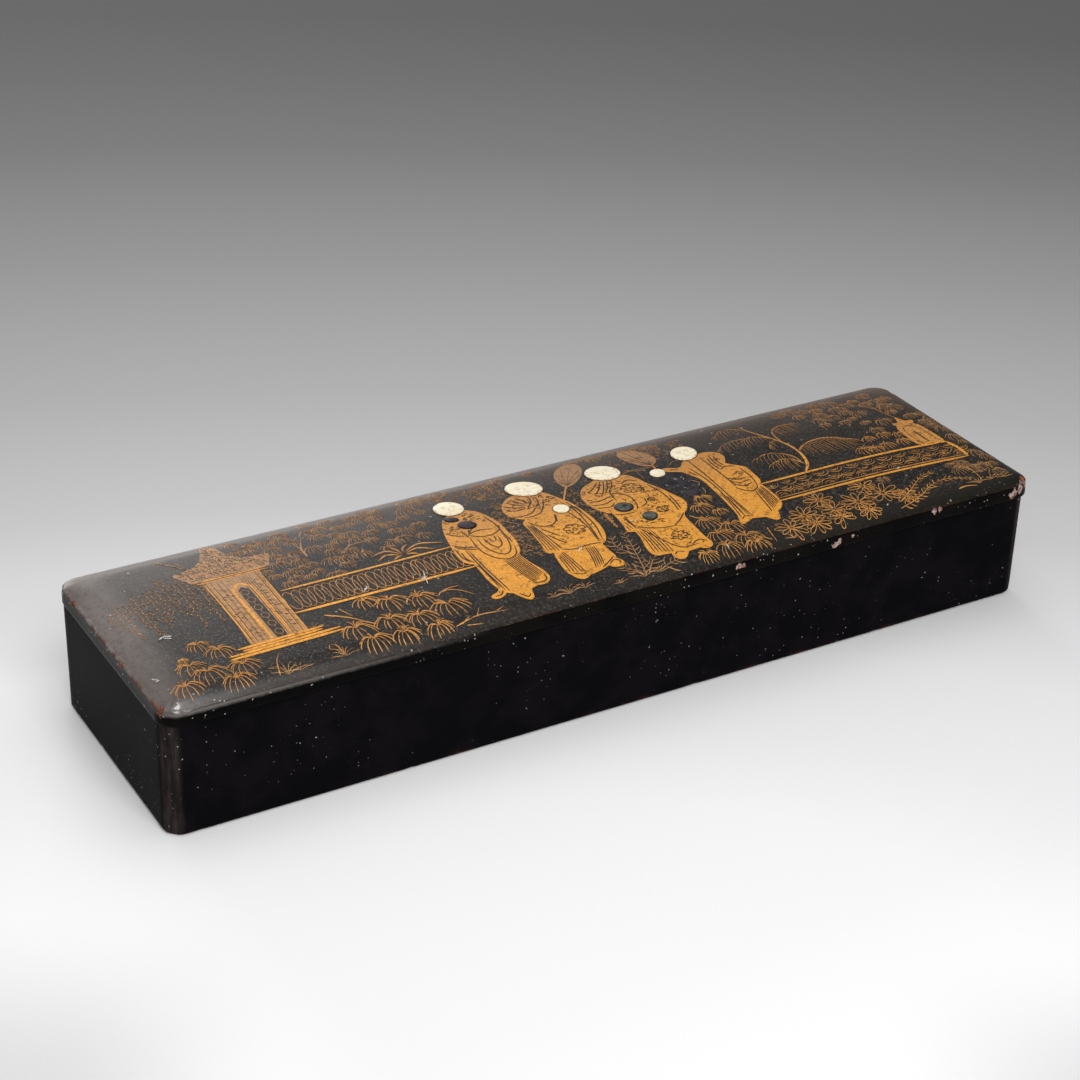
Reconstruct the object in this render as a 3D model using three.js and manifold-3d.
// Pen box: a long lacquered wooden box whose crowned lid turns on two small brass butt hinges.
// Millimetres. +X runs along the box, +Y points to the hinge side and +Z up.
// The origin lies under the middle of the base board.
import * as THREE from "three";
import { mergeVertices } from "three/addons/utils/BufferGeometryUtils.js";
import Module from "manifold-3d";

const wasm = await Module();
wasm.setup();

// Box
const boxLength = 240;
const boxDepth = 65;
const seamHeight = 29.3; // from the table to the top edge of the walls, where the lid rests
const wallThickness = 5;
const baseThickness = 4;
const boxCorner = 4.5; // upright corners, in plan
const footRound = 1.4; // along the foot of the walls
const rimRound = 0.6; // along the top edge of the walls

// Lid
const lipFront = 1; // how far the lid reaches past the front wall, as a finger lip
const lipEnds = 0.4;
const lidCorner = 5; // in plan
const lidUnderRound = 0.4; // along the lid's lower edge
const lidBand = 3.1; // upright edge of the lid
const lidArris = 0.8; // round between that edge and the top
const rollWidth = 6; // from the lid's edge to where its top levels out
const rollRise = 1.5;
const crownRise = 1.2; // how much higher the middle is than the long edges

// Rails under the lid, which drop inside the walls
const railDrop = 2.2;
const railThickness = 3;
const railClearance = 0.5;

// Hinges
const hingeFromEnd = 52; // from the end of the box to the middle of a hinge
const hingeLength = 16;
const knuckleRadius = 1.3;
const middleKnuckle = 6; // length of the lid leaf's own knuckle
const pinRadius = 0.55;
const pinClearance = 0.08;
const leafThickness = 0.7;
const leafMargin = 0.3; // from the leaf's inner edge to the inside of the wall
const knuckleGap = 0.25; // between neighbouring knuckles, and round them in the wood
const leafClearance = 0.15; // round a leaf in its seat
const backBevel = 51.5; // degrees that each back edge is bevelled, so the lid stops at twice this

// Screws
const screwHead = 0.85; // radius
const screwHeadDepth = 0.5;
const screwShank = 0.45; // radius
const boxScrewLength = 4.5;
const lidScrewLength = 2.6;
const screwClearance = 0.1;
const screwSpacing = 10; // between the two screws of a leaf
const screwFromEdge = 1.3; // from the leaf's inner edge
const slotWidth = 0.28;
const slotDepth = 0.22;

// Inlays, let into the top of the lid. long and short are half axes, turn is in degrees.
const inlaySink = 0.6; // from the surface of the lid to the bottom of the pocket
const inlayProud = 0.3;
const inlayClearance = 0.12;
const inlayEdge = 0.25; // round along the inlay's upper edge
const inlays = [
  { name: "face_1", finish: "bone", x: -23.6, y: 18.2, long: 3.95, short: 3.8, turn: 113 },
  { name: "face_2", finish: "bone", x: -1.7, y: 19.1, long: 4.9, short: 4.1, turn: 151 },
  { name: "face_3", finish: "bone", x: 20.4, y: 17.3, long: 4.7, short: 4.2, turn: 161 },
  { name: "face_4", finish: "bone", x: 45.1, y: 17.3, long: 4.2, short: 3.5, turn: 48 },
  { name: "hand_1", finish: "bone", x: 1, y: 5, long: 2.3, short: 2.05, turn: 49 },
  { name: "hand_2", finish: "bone", x: 32.8, y: 10.6, long: 2.35, short: 2, turn: 45 },
  { name: "robe_disc_1", finish: "horn", x: -25.8, y: 12.6, long: 1.8, short: 1.25, turn: 151 },
  { name: "robe_disc_2", finish: "horn", x: -23.7, y: 8.3, long: 2.3, short: 2, turn: 153 },
  { name: "robe_disc_3", finish: "shell", x: 15.3, y: -1.4, long: 2.45, short: 2.25, turn: 17 },
  { name: "robe_disc_4", finish: "shell", x: 18.8, y: -8.1, long: 2.15, short: 1.8, turn: 44 },
];

// How finely round shapes are cut
const cornerSteps = 8;
const edgeSteps = 4;
const rollSteps = 5;
const crownSteps = 6;
const crossSteps = 14; // along the lid's short sides, so that they follow the crown
const roundSides = 28;
const leastRadius = 0.2; // of the innermost rings of the lid's top
const spineHalf = 0.5; // half width of the flat strip left along the middle of the lid
const cutMargin = 1; // how far a cutting shape runs past what it cuts
const mergeDistance = 1e-4;

// Derived places
const halfLength = boxLength / 2;
const halfDepth = boxDepth / 2;
const innerHalfLength = halfLength - wallThickness;
const innerHalfDepth = halfDepth - wallThickness;
const axisY = halfDepth - knuckleRadius; // the knuckles come flush with the back of the box
const leafReach = axisY - innerHalfDepth - leafMargin;
const boreRadius = pinRadius + pinClearance;
const hingeX = halfLength - hingeFromEnd;
const screwY = screwFromEdge - leafReach; // from the hinge's axis
const lidHalfLength = halfLength + lipEnds;
const lidHalfDepth = halfDepth + lipFront / 2;
const lidCentreY = -lipFront / 2;
const lidShoulder = lidBand + lidArris;

const finishes = {
  lacquer: { color: 0x14110f, roughness: 0.22, metalness: 0 },
  lidLacquer: { color: 0x2a241f, roughness: 0.38, metalness: 0 },
  brass: { color: 0xa9833f, roughness: 0.35, metalness: 1 },
  bone: { color: 0xece0c6, roughness: 0.45, metalness: 0 },
  horn: { color: 0x2b2730, roughness: 0.4, metalness: 0 },
  shell: { color: 0x5d6a66, roughness: 0.3, metalness: 0 },
};

function toSolid(geometry) {
  const bare = geometry.clone();
  bare.deleteAttribute("normal");
  bare.deleteAttribute("uv");
  const merged = mergeVertices(bare, mergeDistance);
  return new wasm.Manifold(
    new wasm.Mesh({
      numProp: 3,
      vertProperties: merged.attributes.position.array,
      triVerts: new Uint32Array(merged.index.array),
    }),
  );
}

function toGeometry(solid) {
  const made = solid.getMesh();
  const geometry = new THREE.BufferGeometry();
  geometry.setAttribute("position", new THREE.BufferAttribute(made.vertProperties, 3));
  geometry.setIndex(new THREE.BufferAttribute(made.triVerts, 1));
  return geometry;
}

function namedMesh(name, geometry, finish) {
  const faceted = geometry.index ? geometry.toNonIndexed() : geometry;
  faceted.computeVertexNormals();
  const mesh = new THREE.Mesh(faceted, new THREE.MeshStandardMaterial(finishes[finish]));
  mesh.name = name;
  return mesh;
}

function block(x0, x1, y0, y1, z0, z1) {
  const box = new THREE.BoxGeometry(x1 - x0, y1 - y0, z1 - z0);
  return box.translate((x0 + x1) / 2, (y0 + y1) / 2, (z0 + z1) / 2);
}

function rodAlongX(radius, x0, x1) {
  const rod = new THREE.CylinderGeometry(radius, radius, x1 - x0, roundSides);
  return rod.rotateZ(Math.PI / 2).translate((x0 + x1) / 2, 0, 0);
}

// A profile of radius and height turned about an upright axis.
function turned(profile) {
  const points = profile.map(([radius, height]) => new THREE.Vector2(radius, height));
  return new THREE.LatheGeometry(points, roundSides).rotateX(Math.PI / 2);
}

// One level of a rounded block, as a closed ring that always has the same number of points.
function roundedRing(plan, inset, heightAt) {
  const radius = Math.max(plan.corner - inset, leastRadius);
  const x = plan.halfX - inset - radius;
  const y = plan.halfY - inset - radius;
  const centres = [[x, y], [-x, y], [-x, -y], [x, -y]];
  const ring = [];
  const addPoint = (px, py) => {
    const py1 = py + plan.centreY;
    ring.push(new THREE.Vector3(px, py1, heightAt(px, py1)));
  };
  centres.forEach(([cx, cy], quarter) => {
    for (let step = 0; step <= cornerSteps; step += 1) {
      const angle = ((quarter + step / cornerSteps) * Math.PI) / 2;
      addPoint(cx + radius * Math.cos(angle), cy + radius * Math.sin(angle));
    }
    const isShortSide = quarter % 2 === 1;
    const sideSteps = isShortSide ? plan.shortSteps : 1;
    const sideX = (plan.halfX - inset) * Math.sign(cx);
    for (let step = 1; step < sideSteps; step += 1) {
      addPoint(sideX, cy * (1 - (2 * step) / sideSteps));
    }
  });
  return ring;
}

// Joins rings from the lowest to the highest and closes both ends round a middle point.
function loft(rings, lowMiddle, highMiddle) {
  const count = rings[0].length;
  const points = [...rings.flat(), lowMiddle, highMiddle];
  const low = count * rings.length;
  const high = low + 1;
  const lastRing = low - count;
  const index = [];
  for (let i = 0; i < count; i += 1) {
    const j = (i + 1) % count;
    for (let start = 0; start < lastRing; start += count) {
      index.push(start + i, start + j, start + count + j);
      index.push(start + i, start + count + j, start + count + i);
    }
    index.push(low, j, i);
    index.push(high, lastRing + i, lastRing + j);
  }
  const geometry = new THREE.BufferGeometry().setFromPoints(points);
  geometry.setIndex(index);
  return geometry;
}

// Quarter-round levels: the inset and height of each step from the flat to the upright.
function quarterRound(radius) {
  return Array.from({ length: edgeSteps + 1 }, (_, step) => {
    const angle = ((step / edgeSteps) * Math.PI) / 2;
    return { inset: radius * (1 - Math.sin(angle)), height: radius * (1 - Math.cos(angle)) };
  });
}

// The whole outer shape of the box below the lid, before it is cut into boards.
function boxEnvelope() {
  const plan = { halfX: halfLength, halfY: halfDepth, centreY: 0, corner: boxCorner, shortSteps: 1 };
  const foot = quarterRound(footRound).map(({ inset, height }) => roundedRing(plan, inset, () => height));
  const rim = quarterRound(rimRound)
    .reverse()
    .map(({ inset, height }) => roundedRing(plan, inset, () => seamHeight - height));
  const low = new THREE.Vector3(0, 0, 0);
  const high = new THREE.Vector3(0, 0, seamHeight);
  return toSolid(loft([...foot, ...rim], low, high));
}

function lidTopHeight(inset, y) {
  const along = THREE.MathUtils.clamp((inset - lidArris) / (rollWidth - lidArris), 0, 1);
  const roll = rollRise * (1 - (1 - along) ** 2);
  const across = (y - lidCentreY) / lidHalfDepth;
  return seamHeight + lidShoulder + roll + crownRise * (1 - across ** 2) * along;
}

function lidSurfaceAt(x, y) {
  const inset = Math.min(lidHalfLength - Math.abs(x), lidHalfDepth - Math.abs(y - lidCentreY));
  return lidTopHeight(inset, y);
}

function lidEnvelope() {
  const plan = {
    halfX: lidHalfLength,
    halfY: lidHalfDepth,
    centreY: lidCentreY,
    corner: lidCorner,
    shortSteps: crossSteps,
  };
  const under = quarterRound(lidUnderRound).map(({ inset, height }) =>
    roundedRing(plan, inset, () => seamHeight + height),
  );
  const arris = quarterRound(lidArris)
    .reverse()
    .map(({ inset, height }) => roundedRing(plan, inset, () => seamHeight + lidShoulder - height));
  const insets = [];
  for (let step = 1; step <= rollSteps; step += 1) {
    insets.push(lidArris + ((rollWidth - lidArris) * step) / rollSteps);
  }
  for (let step = 1; step <= crownSteps; step += 1) {
    insets.push(rollWidth + ((lidHalfDepth - spineHalf - rollWidth) * step) / crownSteps);
  }
  const top = insets.map((inset) => roundedRing(plan, inset, (_, y) => lidTopHeight(inset, y)));
  const low = new THREE.Vector3(0, lidCentreY, seamHeight);
  const high = new THREE.Vector3(0, lidCentreY, lidTopHeight(lidHalfDepth, lidCentreY));
  return toSolid(loft([...under, ...arris, ...top], low, high));
}

// The wedge taken off a back edge behind the hinge axis: side is 1 for the lid and -1 for the box.
function backBevelCut(side) {
  const reach = knuckleRadius + cutMargin;
  const drop = side * reach * Math.tan(THREE.MathUtils.degToRad(backBevel));
  const wedge = new THREE.Shape([
    new THREE.Vector2(axisY, seamHeight),
    new THREE.Vector2(axisY + reach, seamHeight),
    new THREE.Vector2(axisY + reach, seamHeight + drop),
  ]);
  const length = boxLength + 2 * (lipEnds + cutMargin);
  const cut = new THREE.ExtrudeGeometry(wedge, { depth: length, bevelEnabled: false });
  cut.translate(0, 0, -length / 2);
  const alongX = new THREE.Matrix4().makeBasis(
    new THREE.Vector3(0, 1, 0),
    new THREE.Vector3(0, 0, 1),
    new THREE.Vector3(1, 0, 0),
  );
  return toSolid(cut.applyMatrix4(alongX));
}

// The seat of one leaf, the room for the knuckles and the screws' holes, round a hinge at x.
function hingeCuts(x, side) {
  const half = hingeLength / 2 + leafClearance;
  const seat = side * leafThickness;
  const inner = -leafReach - leafClearance;
  const leaf = block(-half, half, inner, 0, Math.min(seat, 0), Math.max(seat, 0));
  const roomHalf = hingeLength / 2 + knuckleGap;
  const room = rodAlongX(knuckleRadius + knuckleGap, -roomHalf, roomHalf);
  const length = side > 0 ? lidScrewLength : boxScrewLength;
  const pieces = [leaf, room, ...screwPlaces().map((place) => pilotHole(length, side, place))];
  return pieces
    .map((piece) => toSolid(piece.translate(x, axisY, seamHeight)))
    .reduce((whole, piece) => whole.add(piece));
}

function screwPlaces() {
  return [-1, 1].map((end) => ({ x: (end * screwSpacing) / 2, y: screwY }));
}

function pilotHole(length, side, place) {
  const radius = screwShank + screwClearance;
  const depth = length + 2 * screwClearance;
  const hole = new THREE.CylinderGeometry(radius, radius, depth, roundSides).rotateX(Math.PI / 2);
  return hole.translate(place.x, place.y, (side * depth) / 2);
}

function screwProfile(length, clearance, above) {
  const head = screwHead + clearance;
  const shank = screwShank + clearance;
  const tip = -length + screwShank;
  const rim = -slotDepth / 2;
  return [
    [0, -length],
    [shank, tip],
    [shank, -screwHeadDepth],
    [head, rim],
    [head, above],
    [0, above],
  ];
}

function screwSolid(length) {
  const screw = toSolid(turned(screwProfile(length, 0, 0)));
  const slot = block(-screwHead * 2, screwHead * 2, -slotWidth / 2, slotWidth / 2, -slotDepth, cutMargin);
  return screw.subtract(toSolid(slot));
}

// The lengths of the hinge that the two leaves' knuckles take up.
function knuckleSpans(side) {
  const end = hingeLength / 2;
  const middle = middleKnuckle / 2;
  return side > 0 ? [[-middle, middle]] : [[-end, -middle - knuckleGap], [middle + knuckleGap, end]];
}

function hingeLeaf(side) {
  const half = hingeLength / 2;
  const thickness = side * leafThickness;
  const plate = block(-half, half, -leafReach, 0, Math.min(thickness, 0), Math.max(thickness, 0));
  const others = knuckleSpans(-side).map(([x0, x1]) => {
    const room = knuckleRadius + knuckleGap;
    return toSolid(block(x0 - knuckleGap, x1 + knuckleGap, -room, room, -room, room));
  });
  const own = knuckleSpans(side).map(([x0, x1]) => toSolid(rodAlongX(knuckleRadius, x0, x1)));
  const bore = toSolid(rodAlongX(boreRadius, -half - cutMargin, half + cutMargin));
  const sinks = screwPlaces().map(({ x, y }) => {
    const sink = turned(screwProfile(boxScrewLength, screwClearance, cutMargin));
    sink.translate(0, 0, -screwClearance);
    if (side > 0) sink.rotateX(Math.PI);
    return toSolid(sink.translate(x, y, 0));
  });
  let leaf = own.reduce((whole, knuckle) => whole.add(knuckle), toSolid(plate));
  leaf = others.reduce((whole, room) => whole.subtract(room), leaf);
  leaf = sinks.reduce((whole, sink) => whole.subtract(sink), leaf.subtract(bore));
  return toGeometry(leaf);
}

function hingePin() {
  const half = hingeLength / 2;
  const dome = pinRadius / 2;
  const profile = [
    [0, -half],
    [dome, -half],
    [pinRadius, dome - half],
    [pinRadius, half - dome],
    [dome, half],
    [0, half],
  ];
  return turned(profile).rotateY(Math.PI / 2);
}

function buildHinge(name, x) {
  const boxSide = new THREE.Group();
  const lidSide = new THREE.Group();
  boxSide.add(namedMesh(name + "_box_leaf", hingeLeaf(-1), "brass"));
  boxSide.add(namedMesh(name + "_pin", hingePin(), "brass"));
  lidSide.add(namedMesh(name + "_lid_leaf", hingeLeaf(1), "brass"));
  screwPlaces().forEach((place, i) => {
    const boxScrew = namedMesh(`${name}_box_screw_${i + 1}`, toGeometry(screwSolid(boxScrewLength)), "brass");
    boxScrew.position.set(place.x, place.y, -screwClearance);
    boxSide.add(boxScrew);
    const lidScrew = namedMesh(`${name}_lid_screw_${i + 1}`, toGeometry(screwSolid(lidScrewLength)), "brass");
    lidScrew.position.set(place.x, place.y, screwClearance);
    lidScrew.rotation.x = Math.PI;
    lidSide.add(lidScrew);
  });
  [boxSide, lidSide].forEach((group) => group.position.set(x, axisY, seamHeight));
  return { boxSide, lidSide };
}

function buildBox() {
  const envelope = boxEnvelope();
  const past = cutMargin;
  const x0 = -halfLength - past;
  const x1 = halfLength + past;
  const z0 = -past;
  const z1 = seamHeight + past;
  const front = block(x0, x1, -halfDepth - past, -innerHalfDepth, z0, z1);
  const back = block(x0, x1, innerHalfDepth, halfDepth + past, z0, z1);
  const left = block(x0, -innerHalfLength, -innerHalfDepth, innerHalfDepth, z0, z1);
  const right = block(innerHalfLength, x1, -innerHalfDepth, innerHalfDepth, z0, z1);
  const base = block(-innerHalfLength, innerHalfLength, -innerHalfDepth, innerHalfDepth, 0, baseThickness);
  let backWall = envelope.intersect(toSolid(back)).subtract(backBevelCut(-1));
  [-hingeX, hingeX].forEach((x) => {
    backWall = backWall.subtract(hingeCuts(x, -1));
  });
  const group = new THREE.Group();
  group.add(namedMesh("front_wall", toGeometry(envelope.intersect(toSolid(front))), "lacquer"));
  group.add(namedMesh("back_wall", toGeometry(backWall), "lacquer"));
  group.add(namedMesh("left_end", toGeometry(envelope.intersect(toSolid(left))), "lacquer"));
  group.add(namedMesh("right_end", toGeometry(envelope.intersect(toSolid(right))), "lacquer"));
  group.add(namedMesh("base_board", base, "lacquer"));
  return group;
}

function inlayShape(inlay, grow, top) {
  const edge = grow > 0 ? 0 : inlayEdge;
  const profile = [[0, 0], [1, 0], [1, top - edge], [1 - edge / inlay.short, top], [0, top]];
  const disc = turned(edge > 0 ? profile : profile.filter((_, i) => i !== 3));
  disc.scale(inlay.long + grow, inlay.short + grow, 1);
  return disc.rotateZ(THREE.MathUtils.degToRad(inlay.turn));
}

function inlayFloor(inlay) {
  return lidSurfaceAt(inlay.x, inlay.y) - inlaySink;
}

function buildInlay(inlay) {
  const mesh = namedMesh(inlay.name, inlayShape(inlay, 0, inlaySink + inlayProud), inlay.finish);
  mesh.position.set(inlay.x, inlay.y, inlayFloor(inlay));
  return mesh;
}

function inlayPocket(inlay) {
  const pocket = inlayShape(inlay, inlayClearance, inlaySink + inlayProud + cutMargin);
  return toSolid(pocket.translate(inlay.x, inlay.y, inlayFloor(inlay)));
}

function lidRails() {
  const outerX = innerHalfLength - railClearance;
  const outerY = innerHalfDepth - railClearance;
  const innerX = outerX - railThickness;
  const innerY = outerY - railThickness;
  const z0 = seamHeight - railDrop;
  const spans = {
    lid_rail_front: [-outerX, outerX, -outerY, -innerY],
    lid_rail_back: [-outerX, outerX, innerY, outerY],
    lid_rail_left: [-outerX, -innerX, -innerY, innerY],
    lid_rail_right: [innerX, outerX, -innerY, innerY],
  };
  return Object.entries(spans).map(([name, span]) => namedMesh(name, block(...span, z0, seamHeight), "lacquer"));
}

function buildLid() {
  let panel = lidEnvelope().subtract(backBevelCut(1));
  [-hingeX, hingeX].forEach((x) => {
    panel = panel.subtract(hingeCuts(x, 1));
  });
  inlays.forEach((inlay) => {
    panel = panel.subtract(inlayPocket(inlay));
  });
  const group = new THREE.Group();
  group.add(namedMesh("lid_panel", toGeometry(panel), "lidLacquer"));
  group.add(...lidRails());
  group.add(...inlays.map(buildInlay));
  return group;
}

const penBox = new THREE.Group();
const box = buildBox();
const lid = buildLid();
const hinges = { hinge_left: -hingeX, hinge_right: hingeX };
Object.entries(hinges).forEach(([name, x]) => {
  const { boxSide, lidSide } = buildHinge(name, x);
  box.add(boxSide);
  lid.add(lidSide);
});
penBox.add(box, lid);

export default penBox;
